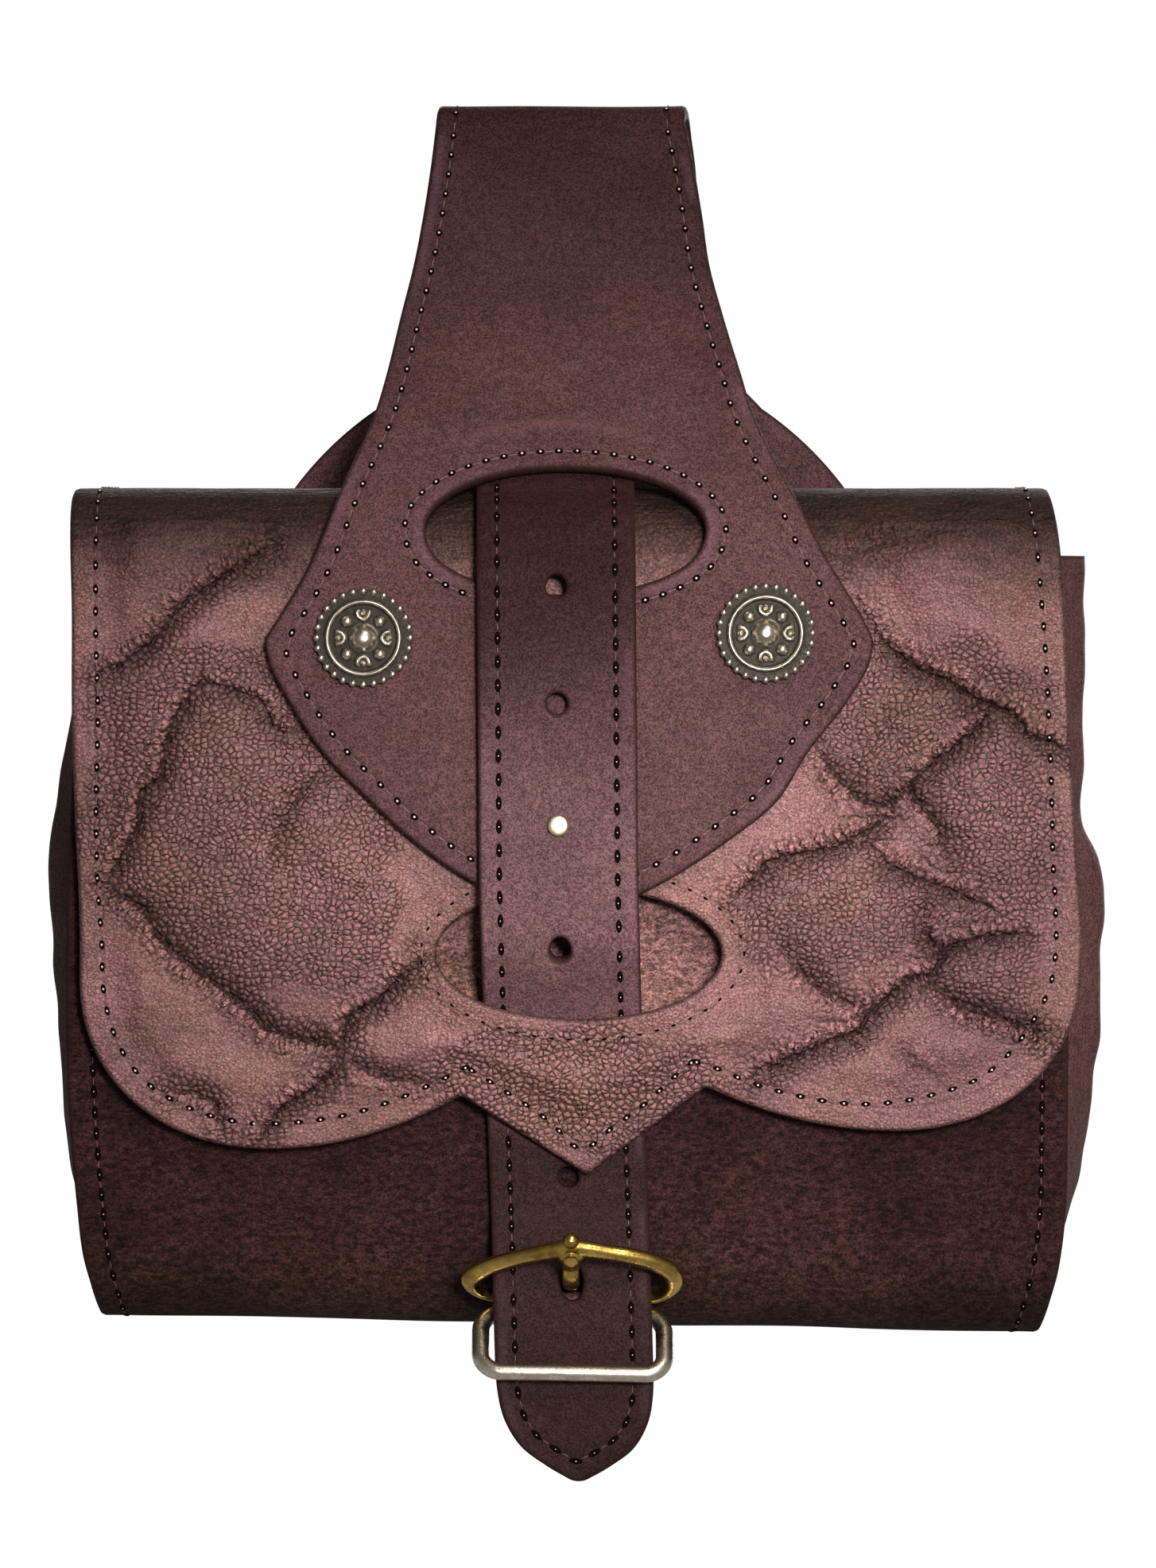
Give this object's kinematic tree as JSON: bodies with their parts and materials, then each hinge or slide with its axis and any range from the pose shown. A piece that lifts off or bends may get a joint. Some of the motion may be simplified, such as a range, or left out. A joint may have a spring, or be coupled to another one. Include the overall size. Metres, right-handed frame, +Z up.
{
  "type": "belt pouch",
  "caption": "Medieval leather belt pouch with a belt loop, a creased flap, side gussets, round studs and a strap that threads through slots to a buckle and ring below.",
  "frame": {"origin": "the top of the belt's way through the loop: the inside of its fold, in the middle of its width", "axes": "+Z up, the front faces -Y, +X to the right as seen from the front; a belt runs along X"},
  "size_m": [0.203, 0.0672, 0.2627],
  "materials": {
    "smooth_leather": "smooth, satin, plum brown",
    "creased_leather": "pebbled and creased, satin",
    "dark_suede": "matt suede",
    "antique_brass": "antique, darkened",
    "nickel": "warm nickel plating, worn",
    "antique_silver": "antique silver with dark recesses",
    "cream_brass": "polished, pale"
  },
  "bodies": {
    "root": {"belt_loop": "smooth_leather", "flap": "creased_leather", "body_front": "dark_suede", "gusset_left": "smooth_leather", "gusset_right": "smooth_leather", "strap": "smooth_leather", "buckle_billet": "smooth_leather", "buckle_frame": "antique_brass", "buckle_prong": "antique_brass", "keeper_ring": "nickel", "concho_left": "antique_silver", "concho_right": "antique_silver", "strap_rivet": "cream_brass"}
  },
  "joints": []
}
